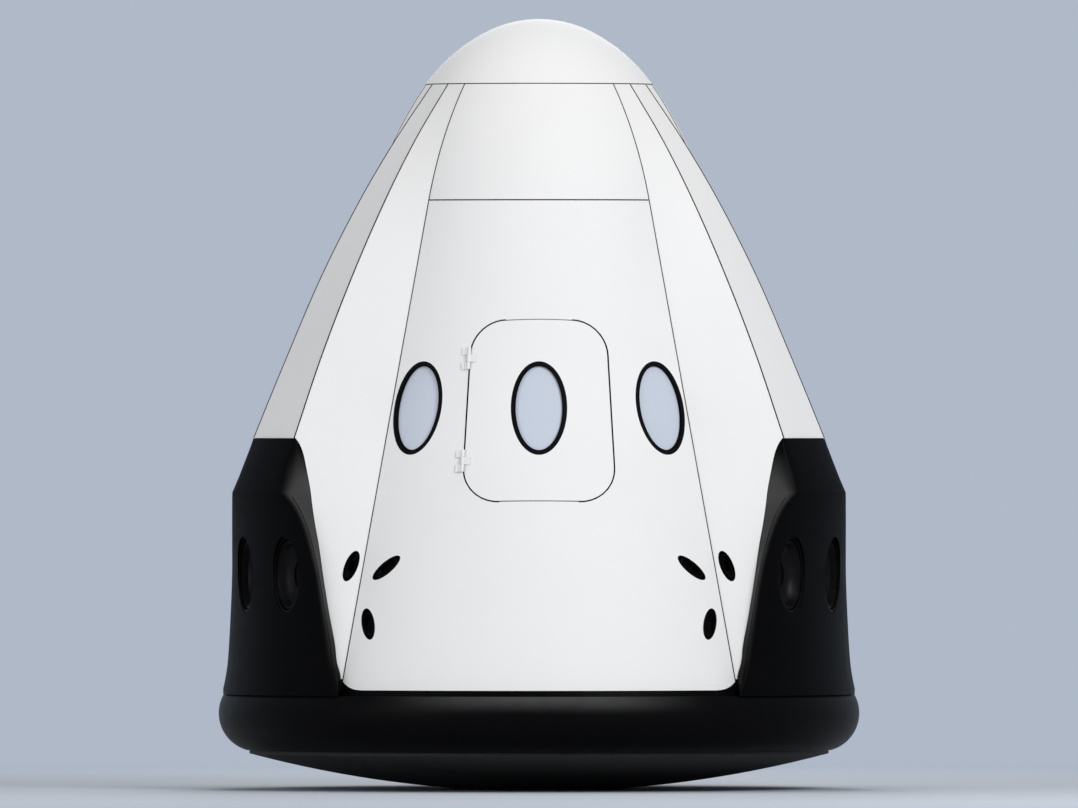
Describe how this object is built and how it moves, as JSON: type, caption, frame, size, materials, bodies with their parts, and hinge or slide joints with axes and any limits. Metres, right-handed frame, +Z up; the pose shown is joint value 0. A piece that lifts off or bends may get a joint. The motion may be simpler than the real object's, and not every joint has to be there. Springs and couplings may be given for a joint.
{
  "type": "crew space capsule",
  "caption": "Blunt conical crew capsule with a hinged nose cap, a windowed side hatch, black engine pods and a domed heat shield.",
  "frame": {"origin": "centre of the heat shield's flat middle, on the ground", "axes": "+Z up along the capsule's axis, -Y out through the side hatch, +X to the right seen from the hatch side"},
  "size_m": [4.0036, 4.0038, 4.812],
  "materials": {
    "skin_white": "smooth matt white paint",
    "heat_shield_black": "matt black ablative tile",
    "pod_black": "satin black paint",
    "nozzle_metal": "dark heat-stained metal",
    "window_ring_black": "matt black",
    "window_glass": "pale blue-grey glass",
    "hinge_white": "matt white paint",
    "docking_metal": "machined",
    "cabin_grey": "matt grey paint",
    "seat_shell": "moulded dark shell"
  },
  "bodies": {
    "capsule": {"base_ring": "pod_black", "cabin_floor": "cabin_grey", "docking_petals": "docking_metal", "docking_ring": "docking_metal", "engine_nozzles_front_left": "nozzle_metal", "engine_nozzles_front_right": "nozzle_metal", "engine_nozzles_rear_left": "nozzle_metal", "engine_nozzles_rear_right": "nozzle_metal", "engine_pod_front_left": "pod_black", "engine_pod_front_right": "pod_black", "engine_pod_rear_left": "pod_black", "engine_pod_rear_right": "pod_black", "forward_bulkhead": "skin_white", "forward_hatch": "docking_metal", "front_cover": "skin_white", "front_panel": "skin_white", "hatch_hinge_frame": "hinge_white", "heat_shield": "heat_shield_black", "heat_shield_rim": "heat_shield_black", "left_panel": "skin_white", "nose_hinge_bracket": "hinge_white", "pod_fairing_front_left": "skin_white", "pod_fairing_front_right": "skin_white", "pod_fairing_rear_left": "skin_white", "pod_fairing_rear_right": "skin_white", "rear_cover": "skin_white", "rear_panel": "skin_white", "right_panel": "skin_white", "seat_1": "seat_shell", "seat_2": "seat_shell", "seat_3": "seat_shell", "seat_4": "seat_shell", "seat_beam": "cabin_grey", "service_section": "cabin_grey", "thruster_ports_front_left": "nozzle_metal", "thruster_ports_front_right": "nozzle_metal", "thruster_ports_rear_left": "nozzle_metal", "thruster_ports_rear_right": "nozzle_metal", "window_frame_left": "window_ring_black", "window_frame_right": "window_ring_black", "window_glass_left": "window_glass", "window_glass_right": "window_glass"},
    "hatch": {"side_hatch": "skin_white", "hatch_window_frame": "window_ring_black", "hatch_window_glass": "window_glass", "hatch_hinge_leaf": "hinge_white"},
    "nose": {"nose_cap": "skin_white", "nose_hinge_arm": "hinge_white"}
  },
  "joints": [
    {"name": "nose_cap_hinge", "type": "hinge", "parent": "capsule", "child": "nose", "pos_m": [0, 0.75, 4.403], "axis": [-1, 0, 0], "range_deg": [0, 115]},
    {"name": "side_hatch_hinge", "type": "hinge", "parent": "capsule", "child": "hatch", "pos_m": [-0.45481, -1.34976, 2.37247], "axis": [-0.0578, -0.2591, -0.9641], "range_deg": [0, 105]}
  ]
}
